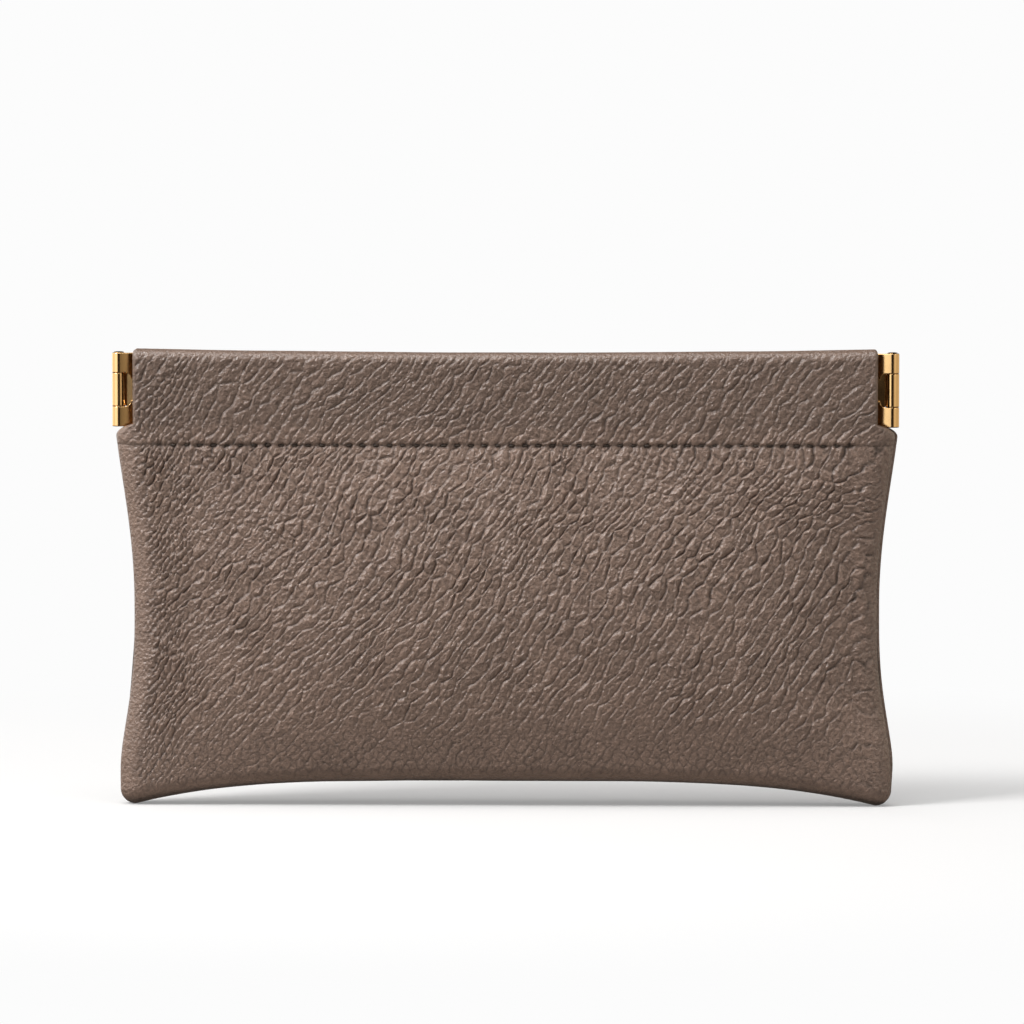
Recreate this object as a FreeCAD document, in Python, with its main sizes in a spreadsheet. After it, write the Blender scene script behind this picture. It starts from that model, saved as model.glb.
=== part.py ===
"""Squeeze coin purse: a turned leather pouch whose mouth holds a flexible spring frame.

Two spring blades lie in a leather casing at each side of the mouth. Their ends carry hinge leaves whose
knuckles interlock on a pin. Squeezing the ends together bows the blades apart and opens the mouth.

Frame: millimetres, +Z up, front of the purse towards -Y, origin on the table under the middle.
"""
import FreeCAD, Part
import math
import os
import Sketcher

V = FreeCAD.Vector
FRONT, REAR = -1, 1
LEFT, RIGHT = -1, 1
FACE_NAME = {FRONT: "front", REAR: "rear"}
END_NAME = {LEFT: "left", RIGHT: "right"}

doc = FreeCAD.newDocument("squeeze_purse")

# Driving dimensions, one spreadsheet row each
SIZES = [
    ("overall_width", 128.0, "across the outer sides of the two hinge barrels"),
    ("casing_inset", 3.5, "ends of the casing inside the hinges' outer sides"),
    ("casing_top", 74.4, "height of the casing's fold above the table"),
    ("hinge_margin", 0.6, "casing fold above the knuckles, and shoulders below them"),
    ("shoulder_inset", 0.4, "shoulders inside the hinges' outer sides"),
    ("waist_inset", 3.4, "sides inside the hinges' outer sides where they draw in most"),
    ("base_inset", 1.4, "sides inside the hinges' outer sides just above the standing corners"),
    ("waist_height", 31.0, "height of the narrowest place"),
    ("base_height", 6.0, "height of the widest place near the standing corners"),
    ("tip_inset", 4.5, "standing tips inside the hinges' outer sides"),
    ("bottom_rise", 3.9, "height of the bottom edge in the middle"),
    ("belly_depth", 6.9, "half thickness of the pouch at its fullest"),
    ("belly_height", 27.0, "height of the fullest place"),
    ("rim_depth", 2.3, "half thickness along the side seams"),
    ("toe_depth", 3.2, "half thickness at the standing tips"),
    ("tip_flat", 0.4, "how far the standing tips are flattened"),
    ("leather_thickness", 1.1, "outer leather"),
    ("turn_in_thickness", 0.5, "skived leather turned in at the mouth"),
    ("tunnel_depth", 1.3, "room for blade, leaf and rivet heads, front to back"),
    ("tunnel_clearance", 0.4, "room above and below the blade in the casing"),
    ("mouth_gap", 0.2, "between the closed front and rear sides"),
    ("fold_radius", 1.2, "rounding of the casing's outer fold"),
    ("stitch_drop", 2.3, "casing seam below the shoulders"),
    ("seam_draw", 0.3, "how far the casing seam draws the pouch in behind the casing's face"),
    ("seam_bar", 3.2, "height of the sewn bar under the shoulders"),
    ("stitch_pitch", 2.2, "casing seam stitch spacing"),
    ("stitch_length", 1.5, "length of one visible stitch"),
    ("thread_diameter", 0.5, "sewing thread"),
    ("thread_clearance", 0.05, "thread to its groove"),
    ("seam_inset", 0.55, "side and bottom seam behind the pouch's edge"),
    ("lining_thickness", 0.4, "woven lining"),
    ("lining_clearance", 0.15, "lining to leather"),
    ("hinge_height", 12.0, "stack of three knuckles"),
    ("middle_knuckle", 5.4, "height of the rear leaf's knuckle"),
    ("knuckle_gap", 0.1, "between neighbouring knuckles"),
    ("pin_diameter", 1.2, "hinge pin"),
    ("pin_clearance", 0.05, "pin to knuckle, on the radius"),
    ("pin_head_diameter", 1.7, "low domed head on the upper end"),
    ("pin_head_height", 0.3, "low domed head on the upper end"),
    ("leaf_thickness", 0.45, "plated leaf metal"),
    ("leaf_reach", 11.0, "hinge axis to the inner end of the leaf's tongue"),
    ("leaf_clearance", 0.1, "shoulder of the leaf to the casing's end"),
    ("blade_height", 10.0, "spring blade"),
    ("blade_thickness", 0.38, "spring blade"),
    ("blade_setback", 4.5, "hinge axis to the end of the blade"),
    ("blade_clearance", 0.02, "blade to leaf"),
    ("rivet_diameter", 1.4, "tubular rivet shank"),
    ("rivet_clearance", 0.04, "rivet shank to its holes, on the radius"),
    ("rivet_head_diameter", 2.2, "rivet head on the blade"),
    ("rivet_head_height", 0.25, "rivet head on the blade"),
    ("rivet_spacing", 5.0, "between the two rivets of a leaf"),
    ("rivet_setback", 8.0, "hinge axis to the rivets"),
]
sheet = doc.addObject("Spreadsheet::Sheet", "Sizes")
for row, (alias, value, note) in enumerate(SIZES, start=1):
    sheet.set(f"A{row}", alias)
    sheet.set(f"B{row}", str(value))
    sheet.set(f"C{row}", note)
    sheet.setAlias(f"B{row}", alias)
doc.recompute()


def size(alias):
    """The sheet's value of one driving dimension."""
    return float(getattr(sheet, alias))


# Places worked out from the driving dimensions, as numbers and as expressions for bound features
HALF_GAP = size("mouth_gap") / 2
CASING_DEPTH = (
    HALF_GAP + size("turn_in_thickness") + size("tunnel_depth") + size("leather_thickness")
)
HINGE_MIDDLE = size("casing_top") - size("hinge_margin") - size("hinge_height") / 2
SHOULDER_HEIGHT = size("casing_top") - size("hinge_height") - 2 * size("hinge_margin")
SEAM_HEIGHT = SHOULDER_HEIGHT - size("stitch_drop")
BAR_FOOT = SHOULDER_HEIGHT - size("seam_bar")
HALF_LENGTH = size("overall_width") / 2
CASING_END = HALF_LENGTH - size("casing_inset")

BORE_X = "(Sizes.pin_diameter / 2 + Sizes.pin_clearance)"
BARREL_X = f"({BORE_X} + Sizes.leaf_thickness)"
PIN_X = f"(Sizes.overall_width / 2 - {BARREL_X})"
MIDDLE_Z = "(Sizes.casing_top - Sizes.hinge_margin - Sizes.hinge_height / 2)"
CASING_END_X = "(Sizes.overall_width / 2 - Sizes.casing_inset)"
LEAF_INNER_Y = BORE_X
LEAF_OUTER_Y = BARREL_X
BLADE_INNER_Y = f"({BARREL_X} + Sizes.blade_clearance)"
BLADE_OUTER_Y = f"({BLADE_INNER_Y} + Sizes.blade_thickness)"

subparts = []


def keep(thing, label):
    """Registers one document object as a sub-part under its plain name."""
    thing.Label = label
    subparts.append(thing)
    return thing


def shape_feature(label, shape):
    """A free-form sub-part whose shape is worked out from the sheet."""
    feature = doc.addObject("Part::Feature", label)
    feature.Shape = shape
    feature.Placement = FreeCAD.Placement()
    return keep(feature, label)


# Bound primitives: every length is an expression on the sheet
def span(sign, near, far):
    """Low and high expressions of a stretch from near to far on one side of zero."""
    return (near, far) if sign > 0 else (f"-({far})", f"-({near})")


def box(name, along_x, along_y, along_z):
    block = doc.addObject("Part::Box", name)
    for side, axis, (low, high) in (
        ("Length", "x", along_x),
        ("Width", "y", along_y),
        ("Height", "z", along_z),
    ):
        block.setExpression(side, f"({high}) - ({low})")
        block.setExpression(f"Placement.Base.{axis}", low)
    return block


def upright(name, radius, x, low, high):
    """A cylinder standing along Z on the hinge plane."""
    post = doc.addObject("Part::Cylinder", name)
    post.setExpression("Radius", radius)
    post.setExpression("Height", f"({high}) - ({low})")
    post.setExpression("Placement.Base.x", x)
    post.setExpression("Placement.Base.z", low)
    return post


def crossways(name, radius, x, z, along_y):
    """A cylinder lying along Y."""
    low, high = along_y
    bar = doc.addObject("Part::Cylinder", name)
    bar.Placement = FreeCAD.Placement(V(0, 0, 0), FreeCAD.Rotation(V(1, 0, 0), -90))
    bar.setExpression("Radius", radius)
    bar.setExpression("Height", f"({high}) - ({low})")
    bar.setExpression("Placement.Base.x", x)
    bar.setExpression("Placement.Base.y", low)
    bar.setExpression("Placement.Base.z", z)
    return bar


def fuse(name, shapes):
    joined = doc.addObject("Part::MultiFuse", name)
    joined.Shapes = shapes
    joined.Refine = True
    return joined


def cut(name, base, tools):
    """Base minus one tool, or minus several joined first."""
    result = doc.addObject("Part::Cut", name)
    result.Base = base
    result.Tool = tools[0] if len(tools) == 1 else fuse(name + "_tools", tools)
    result.Refine = True
    return result


def rivet_heights():
    """Expressions of the two rivet heights of a leaf."""
    return [f"{MIDDLE_Z} + {side} * Sizes.rivet_spacing / 2" for side in (-1, 1)]


def rivet_x(end):
    return f"{end} * ({PIN_X} - Sizes.rivet_setback)"


# Hinge leaves: rolled knuckles, exposed tabs and a tongue that goes into the casing
def knuckle_stretches(face):
    """Height ranges of a leaf's knuckles: two outer ones in front, the middle one behind."""
    half_stack = "Sizes.hinge_height / 2"
    half_middle = "Sizes.middle_knuckle / 2"
    if face == REAR:
        return [(f"{MIDDLE_Z} - {half_middle}", f"{MIDDLE_Z} + {half_middle}")]
    inner = f"{half_middle} + Sizes.knuckle_gap"
    return [
        (f"{MIDDLE_Z} - {half_stack}", f"{MIDDLE_Z} - ({inner})"),
        (f"{MIDDLE_Z} + ({inner})", f"{MIDDLE_Z} + {half_stack}"),
    ]


def make_leaf(face, end):
    name = f"{FACE_NAME[face]}_{END_NAME[end]}_leaf"
    axis_x = f"{end} * {PIN_X}"
    along_y = span(face, LEAF_INNER_Y, LEAF_OUTER_Y)
    shoulder = f"{CASING_END_X} + Sizes.leaf_clearance"
    solids = []
    for index, (low, high) in enumerate(knuckle_stretches(face)):
        solids.append(upright(f"{name}_barrel_{index}", BARREL_X, axis_x, low, high))
        solids.append(box(f"{name}_tab_{index}", span(end, shoulder, PIN_X), along_y, (low, high)))
    tongue_z = (f"{MIDDLE_Z} - Sizes.blade_height / 2", f"{MIDDLE_Z} + Sizes.blade_height / 2")
    tongue_x = span(end, f"{PIN_X} - Sizes.leaf_reach", shoulder)
    solids.append(box(f"{name}_tongue", tongue_x, along_y, tongue_z))
    whole_z = (f"{MIDDLE_Z} - Sizes.hinge_height", f"{MIDDLE_Z} + Sizes.hinge_height")
    holes = [upright(f"{name}_bore", BORE_X, axis_x, *whole_z)]
    hole_radius = "Sizes.rivet_diameter / 2 + Sizes.rivet_clearance"
    through = span(face, f"{LEAF_INNER_Y} / 2", f"{LEAF_OUTER_Y} + Sizes.leaf_thickness")
    for index, z in enumerate(rivet_heights()):
        holes.append(crossways(f"{name}_rivet_hole_{index}", hole_radius, rivet_x(end), z, through))
    keep(cut(name + "_cut", fuse(name + "_blank", solids), holes), name)


# Rivets: a shank flush with the leaf and a low head on the blade
def make_rivets(face, end):
    name = f"{FACE_NAME[face]}_{END_NAME[end]}_rivets"
    shank = span(face, LEAF_INNER_Y, BLADE_OUTER_Y)
    head = span(face, BLADE_OUTER_Y, f"{BLADE_OUTER_Y} + Sizes.rivet_head_height")
    rivets = []
    for index, z in enumerate(rivet_heights()):
        pieces = [
            crossways(f"{name}_shank_{index}", "Sizes.rivet_diameter / 2", rivet_x(end), z, shank),
            crossways(f"{name}_head_{index}", "Sizes.rivet_head_diameter / 2", rivet_x(end), z, head),
        ]
        rivets.append(fuse(f"{name}_{index}", pieces))
    group = doc.addObject("Part::Compound", name + "_pair")
    group.Links = rivets
    keep(group, name)


# Sketch helpers for the padded and turned pieces
def plane_of(body, role):
    return next(f for f in body.Origin.OriginFeatures if f.Role == role)


def new_sketch(body, name, role):
    sketch = body.newObject("Sketcher::SketchObject", name)
    sketch.AttachmentSupport = (plane_of(body, role), [""])
    sketch.MapMode = "FlatFace"
    return sketch


def closed_outline(sketch, points):
    """A closed chain of lines through points given as (x, y) expressions, each vertex bound to the sheet."""
    turn = 2 * math.pi / len(points)
    rough = [V(math.cos(turn * index), math.sin(turn * index), 0) for index in range(len(points))]
    for index in range(len(points)):
        sketch.addGeometry(Part.LineSegment(rough[index], rough[(index + 1) % len(points)]), False)
    for index in range(len(points)):
        sketch.addConstraint(Sketcher.Constraint("Coincident", index, 2, (index + 1) % len(points), 1))
    for index, place in enumerate(points):
        for kind, expression in zip(("DistanceX", "DistanceY"), place):
            number = sketch.addConstraint(Sketcher.Constraint(kind, -1, 1, index, 1, 1.0))
            sketch.setExpression(f"Constraints[{number}]", expression)


# Spring blades: flat tempered steel with two rivet holes at each end
def make_blade(face):
    name = f"{FACE_NAME[face]}_blade"
    body = doc.addObject("PartDesign::Body", name)
    outline = new_sketch(body, name + "_outline", "XZ_Plane")
    reach = f"({PIN_X} - Sizes.blade_setback)"
    corners = [(-1, -1), (1, -1), (1, 1), (-1, 1)]
    closed_outline(
        outline,
        [(f"{x} * {reach}", f"{MIDDLE_Z} + {z} * Sizes.blade_height / 2") for x, z in corners],
    )
    pad = body.newObject("PartDesign::Pad", name + "_sheet")
    pad.Profile = outline
    pad.setExpression("Length", "Sizes.blade_thickness")
    doc.recompute()
    holes = new_sketch(body, name + "_holes", "XZ_Plane")
    for end in (LEFT, RIGHT):
        for z in rivet_heights():
            index = holes.addGeometry(Part.Circle(V(end, 0, 0), V(0, 0, 1), 1.0), False)
            bound = [
                ("Radius", (index, 1.0), "Sizes.rivet_diameter / 2 + Sizes.rivet_clearance"),
                ("DistanceX", (-1, 1, index, 3, 1.0), rivet_x(end)),
                ("DistanceY", (-1, 1, index, 3, 1.0), z),
            ]
            for kind, where, expression in bound:
                number = holes.addConstraint(Sketcher.Constraint(kind, *where))
                holes.setExpression(f"Constraints[{number}]", expression)
    pocket = body.newObject("PartDesign::Pocket", name + "_rivet_holes")
    pocket.Profile = holes
    pocket.Type = "ThroughAll"
    pocket.Reversed = True
    # The sheet is padded towards -Y, so the front blade starts at its inner face and the rear at its outer
    start = f"-{BLADE_INNER_Y}" if face == FRONT else BLADE_OUTER_Y
    body.setExpression("Placement.Base.y", start)
    keep(body, name)


# Hinge pins: turned, with a low head above the top knuckle
def make_pin(end):
    name = f"{END_NAME[end]}_pin"
    body = doc.addObject("PartDesign::Body", name)
    profile = new_sketch(body, name + "_profile", "XZ_Plane")
    low = "-Sizes.hinge_height / 2"
    top = "Sizes.hinge_height / 2 + Sizes.knuckle_gap"
    crown = f"({top}) + Sizes.pin_head_height"
    closed_outline(
        profile,
        [
            ("0", low),
            ("Sizes.pin_diameter / 2", low),
            ("Sizes.pin_diameter / 2", top),
            ("Sizes.pin_head_diameter / 2", top),
            ("Sizes.pin_diameter / 2", crown),
            ("0", crown),
        ],
    )
    turned = body.newObject("PartDesign::Revolution", name + "_turned")
    turned.Profile = profile
    turned.ReferenceAxis = (profile, ["V_Axis"])
    turned.Angle = 360.0
    body.setExpression("Placement.Base.x", f"{end} * {PIN_X}")
    body.setExpression("Placement.Base.z", MIDDLE_Z)
    keep(body, name)


# The turned pouch: each side is a shallow leather dish
def ease(share):
    """A smooth step from 0 to 1."""
    return share * share * (3 - 2 * share)


def half_width(z):
    """Half the pouch's width at a height: eases from shoulder to waist and from waist to base."""
    waist, waist_z = HALF_LENGTH - size("waist_inset"), size("waist_height")
    base, base_z = HALF_LENGTH - size("base_inset"), size("base_height")
    shoulder = HALF_LENGTH - size("shoulder_inset")
    if z >= waist_z:
        return waist + (shoulder - waist) * ((z - waist_z) / (SHOULDER_HEIGHT - waist_z)) ** 2
    if z >= base_z:
        return waist + (base - waist) * ease((waist_z - z) / (waist_z - base_z))
    return base


def half_depth(z):
    """Half the pouch's thickness in the middle: a soft belly between the casing seam and the bottom."""
    belly, belly_z = size("belly_depth"), size("belly_height")
    neck = CASING_DEPTH - size("seam_draw")
    if z >= SEAM_HEIGHT:
        return neck
    if z >= belly_z:
        return belly + (neck - belly) * ease((z - belly_z) / (SEAM_HEIGHT - belly_z))
    share = (belly_z - z) / belly_z
    return size("toe_depth") + (belly - size("toe_depth")) * (1 - share**2)


# Shape of a horizontal section, as shares of its half width and of its depth from rim to middle
EDGE_WIDTH, EDGE_DEPTH = 0.80, 0.80
BEND_WIDTH, BEND_DEPTH = 0.925, 0.47


def dish_section(face, z, inset, base):
    """A flat base near the seam plane and a crowned outer side of three arcs, at one height."""
    wide = half_width(z) - inset
    rim = size("rim_depth") - inset
    deep = half_depth(z) - inset

    def point(share, depth_share):
        return V(share * wide, face * (rim + depth_share * (deep - rim)), z)

    low_left, low_right = V(-wide, face * base, z), V(wide, face * base, z)
    left_edge, right_edge = point(-EDGE_WIDTH, EDGE_DEPTH), point(EDGE_WIDTH, EDGE_DEPTH)
    outline = [
        Part.LineSegment(low_left, point(-1, 0)),
        Part.Arc(point(-1, 0), point(-BEND_WIDTH, BEND_DEPTH), left_edge),
        Part.Arc(left_edge, point(0, 1), right_edge),
        Part.Arc(right_edge, point(BEND_WIDTH, BEND_DEPTH), point(1, 0)),
        Part.LineSegment(point(1, 0), low_right),
        Part.LineSegment(low_right, low_left),
    ]
    return Part.Wire([edge.toShape() for edge in outline])


def dish(face, top, inset, base):
    """A crowned half pillow from the table to a height, drawn in by an inset and cut to the bottom edge."""
    waist, low = size("waist_height"), size("base_height")
    third = (SEAM_HEIGHT - waist) / 3
    marks = [0.0, low, (low + waist) / 2, waist, waist + third, waist + 2 * third, SEAM_HEIGHT]
    levels = [z for z in marks if z < top - size("seam_inset")] + [top]
    pillow = Part.makeLoft([dish_section(face, z, inset, base) for z in levels], True, False)
    return pillow.cut(below_bottom(inset))


def bottom_point(share, inset):
    """A point of the curved lower edge, at a share of the way from the middle to a standing tip."""
    rise, drop = size("bottom_rise"), size("bottom_rise") + size("tip_flat")
    return V(share * (HALF_LENGTH - size("tip_inset")), 0, rise - drop * share**4 + inset)


# Ends of the bottom's long flat arc, a point on the arcs down to the tips, and the bulge of the corners
FLAT_SHARE, TURN_SHARE = 0.58, 0.80
CORNER_OUT, CORNER_UP = 0.75, 0.30


def below_bottom(inset):
    """Everything under the curved lower edge and outside the rounded corners, as a cutting block."""

    def corner(end):
        tip = bottom_point(end, inset)
        side = V(end * (half_width(size("base_height")) - inset), 0, size("base_height") + inset)
        bulge = V(tip.x + CORNER_OUT * (side.x - tip.x), 0, tip.z + CORNER_UP * (side.z - tip.z))
        return tip, bulge, side

    left_tip, left_bulge, left_side = corner(LEFT)
    right_tip, right_bulge, right_side = corner(RIGHT)
    flat_left, flat_right = bottom_point(-FLAT_SHARE, inset), bottom_point(FLAT_SHARE, inset)
    far = size("overall_width")
    around = [(far, right_side.z), (far, -far), (-far, -far), (-far, left_side.z)]
    loop = [right_side, *(V(x, 0, z) for x, z in around), left_side]
    outline = [
        Part.Arc(left_side, left_bulge, left_tip),
        Part.Arc(left_tip, bottom_point(-TURN_SHARE, inset), flat_left),
        Part.Arc(flat_left, bottom_point(0, inset), flat_right),
        Part.Arc(flat_right, bottom_point(TURN_SHARE, inset), right_tip),
        Part.Arc(right_tip, right_bulge, right_side),
    ]
    outline += [Part.LineSegment(a, b) for a, b in zip(loop, loop[1:])]
    face = Part.Face(Part.Wire([edge.toShape() for edge in outline]))
    block = face.extrude(V(0, 2 * far, 0))
    block.translate(V(0, -far, 0))
    return block


# The turned seam that joins the two leather sides
def seam_runs():
    """The seam's three stretches as edges: left side, bottom and right side, just inside the pouch's edge."""
    inset = size("seam_inset")
    waist = size("waist_height")
    top, low = BAR_FOOT - size("seam_bar"), size("base_height") + size("seam_bar")
    upper, lower = [top, (top + waist) / 2, waist], [waist, (low + waist) / 2, low]
    runs = []
    for end in (LEFT, RIGHT):
        arcs = [[V(end * (half_width(z) - inset), 0, z) for z in heights] for heights in (upper, lower)]
        runs.append([Part.Arc(*points).toShape() for points in arcs])
    bottom = [bottom_point(share, inset) for share in (-FLAT_SHARE, 0, FLAT_SHARE)]
    runs.append([Part.Arc(*bottom).toShape()])
    return runs


def seam_cords(radius):
    """A round thread of one radius along each stretch of the seam."""
    cords = []
    for edges in seam_runs():
        start, along = edges[0].valueAt(edges[0].FirstParameter), edges[0].tangentAt(edges[0].FirstParameter)
        section = Part.Wire(Part.makeCircle(radius, start, along))
        cords.append(Part.Wire(edges).makePipeShell([section], True, True))
    return cords


def plain_box(x, y, z):
    """A block from three (low, high) pairs."""
    return Part.makeBox(x[1] - x[0], y[1] - y[0], z[1] - z[0], V(x[0], y[0], z[0]))


def depths(face, near, far):
    """A (low, high) pair along Y on one face of the purse."""
    return (near, far) if face > 0 else (-far, -near)


def tunnel_block(face):
    """The passage through a casing that the blade lies in."""
    far = size("overall_width")
    half = size("blade_height") / 2 + size("tunnel_clearance")
    near = HALF_GAP + size("turn_in_thickness")
    across = depths(face, near, near + size("tunnel_depth"))
    return plain_box((-far, far), across, (HINGE_MIDDLE - half, HINGE_MIDDLE + half))


def stitch_groove(face):
    """The line that the casing seam pulls into the leather."""
    half = size("thread_diameter") / 2 + size("thread_clearance")
    length = CASING_END - size("stitch_pitch") / 2
    across = depths(face, CASING_DEPTH - 2 * half, CASING_DEPTH + 2 * half)
    return plain_box((-length, length), across, (SEAM_HEIGHT - half, SEAM_HEIGHT + half))


def casing_block(face):
    """The folded casing with its rounded fold, down to the foot of the sewn bar."""
    top = size("casing_top")
    block = plain_box((-CASING_END, CASING_END), depths(face, HALF_GAP, CASING_DEPTH), (BAR_FOOT, top))
    fold = [
        edge
        for edge in block.Edges
        if all(abs(v.Z - top) < 1e-6 and abs(v.Y - face * CASING_DEPTH) < 1e-6 for v in edge.Vertexes)
    ]
    return block.makeFillet(size("fold_radius"), fold)


def make_leather(face):
    wall = size("leather_thickness")
    pouch = dish(face, SHOULDER_HEIGHT, 0.0, HALF_GAP)
    hollow = dish(face, BAR_FOOT, wall, 0.0)
    side = pouch.cut(hollow).fuse(casing_block(face))
    grooves = seam_cords(size("thread_diameter") / 2 + size("thread_clearance"))
    for tool in [tunnel_block(face), stitch_groove(face), *grooves]:
        side = side.cut(tool)
    shape_feature(f"{FACE_NAME[face]}_leather", side.removeSplitter())


def make_lining(face):
    """A lining panel that follows the inside of one leather side, sewn to its fellow along the edges."""
    outside = size("leather_thickness") + size("lining_clearance")
    top = BAR_FOOT - size("lining_clearance")
    panel = dish(face, top, outside, HALF_GAP).cut(dish(face, top, outside + size("lining_thickness"), 0.0))
    shape_feature(f"{FACE_NAME[face]}_lining", panel)


def make_casing_thread(face):
    """A row of stitches lying in the casing seam's groove."""
    radius, length, pitch = size("thread_diameter") / 2, size("stitch_length"), size("stitch_pitch")
    count = int(2 * (CASING_END - pitch) / pitch)
    y = face * (CASING_DEPTH - radius - size("thread_clearance"))
    starts = [(index - (count - 1) / 2) * pitch - length / 2 for index in range(count)]
    stitches = [Part.makeCylinder(radius, length, V(x, y, SEAM_HEIGHT), V(1, 0, 0)) for x in starts]
    shape_feature(f"{FACE_NAME[face]}_casing_thread", Part.makeCompound(stitches))


def make_seam_thread():
    shape_feature("seam_thread", Part.makeCompound(seam_cords(size("thread_diameter") / 2)))


# Build every sub-part, check it and write it
for face in (FRONT, REAR):
    make_leather(face)
    make_lining(face)
    make_casing_thread(face)
    make_blade(face)
    for end in (LEFT, RIGHT):
        make_leaf(face, end)
        make_rivets(face, end)
for end in (LEFT, RIGHT):
    make_pin(end)
make_seam_thread()
doc.recompute()

for thing in doc.Objects:
    if "Invalid" in thing.State or "Error" in thing.State:
        raise RuntimeError(f"{thing.Name} failed to build: {thing.State}")
for thing in subparts:
    if thing.Shape.isNull() or not thing.Shape.isValid() or not thing.Shape.Solids:
        raise RuntimeError(f"{thing.Label} has no valid solid")

os.makedirs("parts", exist_ok=True)
for thing in subparts:
    thing.Shape.exportStep(os.path.join("parts", thing.Label + ".step"))
    print(f"{thing.Label}: {len(thing.Shape.Solids)} solids, {thing.Shape.Volume:.1f} mm3")
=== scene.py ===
"""Squeeze coin purse: pebbled leather pouch, spring frame and plated hinges, dressed on the CAD frame."""
import math

import bpy
import numpy as np
from bpy.props import FloatProperty, PointerProperty, StringProperty
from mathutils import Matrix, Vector


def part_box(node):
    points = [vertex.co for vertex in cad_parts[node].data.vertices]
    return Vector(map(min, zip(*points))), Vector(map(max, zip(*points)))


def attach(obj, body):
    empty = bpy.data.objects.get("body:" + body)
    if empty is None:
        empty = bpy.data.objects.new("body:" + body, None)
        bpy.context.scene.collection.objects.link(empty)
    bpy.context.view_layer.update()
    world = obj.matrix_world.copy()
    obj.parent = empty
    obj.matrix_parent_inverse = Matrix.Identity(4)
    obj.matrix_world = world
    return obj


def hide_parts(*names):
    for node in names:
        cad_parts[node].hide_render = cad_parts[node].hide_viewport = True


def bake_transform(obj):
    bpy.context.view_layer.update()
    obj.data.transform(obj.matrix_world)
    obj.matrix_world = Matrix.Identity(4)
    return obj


bl_info = {
    "name": "Squeeze Purse",
    "version": (1, 0, 0),
    "blender": (4, 5, 0),
    "location": "View3D > Sidebar > Purse",
    "description": "Dresses a leather squeeze purse with grain, stitches, lining and hinges",
    "category": "Object",
}

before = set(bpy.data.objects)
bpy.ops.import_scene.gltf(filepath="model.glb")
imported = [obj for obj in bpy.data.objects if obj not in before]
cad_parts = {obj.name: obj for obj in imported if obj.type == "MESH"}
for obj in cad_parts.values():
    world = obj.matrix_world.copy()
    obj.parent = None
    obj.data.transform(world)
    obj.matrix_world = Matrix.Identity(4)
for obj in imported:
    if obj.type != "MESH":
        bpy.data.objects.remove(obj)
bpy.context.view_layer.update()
MM = 0.001

FRONT, REAR = "front", "rear"
FACES = {FRONT: -1.0, REAR: 1.0}
ENDS = {"left": -1.0, "right": 1.0}


# Places read from the frame, in metres
def node_box(node):
    """Low and high corner of a CAD node."""
    low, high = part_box(node)
    return np.array(low), np.array(high)


LEATHER_LOW, LEATHER_HIGH = node_box("front_leather")
LEAF_LOW, LEAF_HIGH = node_box("front_right_leaf")
PIN_LOW, PIN_HIGH = node_box("right_pin")
THREAD_LOW, THREAD_HIGH = node_box("front_casing_thread")

SHOULDER = float(LEATHER_HIGH[0])
BELLY = float(-LEATHER_LOW[1])
FOLD_TOP = float(LEATHER_HIGH[2])
HALF_GAP = float(-LEATHER_HIGH[1])
SEAM_Z = float(THREAD_LOW[2] + THREAD_HIGH[2]) / 2
THREAD_RADIUS = float(THREAD_HIGH[2] - THREAD_LOW[2]) / 2
PIN_X = float(PIN_LOW[0] + PIN_HIGH[0]) / 2
HINGE_LOW, HINGE_HIGH = float(LEAF_LOW[2]), float(LEAF_HIGH[2])
BARREL_RADIUS = float(LEAF_HIGH[0]) - PIN_X
SEAM_HALF = float(THREAD_HIGH[0])

# Sizes that the frame doesn't give
STITCH_PITCH = 2.2 * MM
STITCH_LENGTH = 1.2 * MM
STITCH_RINGS, STITCH_SIDES = 9, 8
STITCH_SUNK, STITCH_DIP = 0.36 * MM, 0.3 * MM
HOLE_HALF, HOLE_HEIGHT, HOLE_DEPTH = 0.55 * MM, 0.42 * MM, 0.36 * MM
FURROW_HALF, FURROW_DEPTH = 0.5 * MM, 0.08 * MM
CREASE_HALF, CREASE_DEPTH = 0.16 * MM, 0.07 * MM
HIDE_WAVE = 0.06 * MM
LEFT_FADE, RIGHT_FADE, CASING_FADE = 2.8 * MM, 0.8 * MM, 1.2 * MM
FOLD_CLEAR, FOLD_FADE = 1.9 * MM, 1.4 * MM
# The last of these sets the width of a line of painted shade along the bottom rim.
RIM_CLEAR, RIM_FADE, BOTTOM_RIM_SHADE_HALF = 0.7 * MM, 1.8 * MM, 0.6 * MM
FLAT_FOOT, FLAT_FADE = 3 * MM, 13 * MM
BLADE_CLEARANCE = 0.18 * MM
KNUCKLE_GAP = 0.04 * MM
WINDOW_REACH = 2.0 * MM
TAB_START = 4.0 * MM
TONGUE_INSET = 0.6 * MM
KNUCKLE_END, KNUCKLE_STEPS = math.radians(195), 52
BLADE_STEPS = 25
PIN_SIDES = 32
PIN_DOME = 0.12 * MM
PIN_HEAD = 0.3 * MM
PIN_OVERLAP = 0.25 * MM
LINING = 0.4 * MM
LINING_GAP = 0.15 * MM
LINING_TRIM, LINING_STEP = 8, 8
SEEDS = {FRONT: 3, REAR: 8}


# Sizes, colours and settings that a user would change
def length_property(name, description, default):
    """A length in metres."""
    return FloatProperty(name=name, description=description, default=default, unit="LENGTH")


def angle_property(name, description, degrees):
    """An angle, given in degrees and kept in radians."""
    return FloatProperty(name=name, description=description, default=math.radians(degrees), subtype="ANGLE")


def colour_property(name, description, default):
    """A colour as an sRGB hex string."""
    return StringProperty(name=name, description=f"{description}, sRGB hex", default=default)


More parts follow.
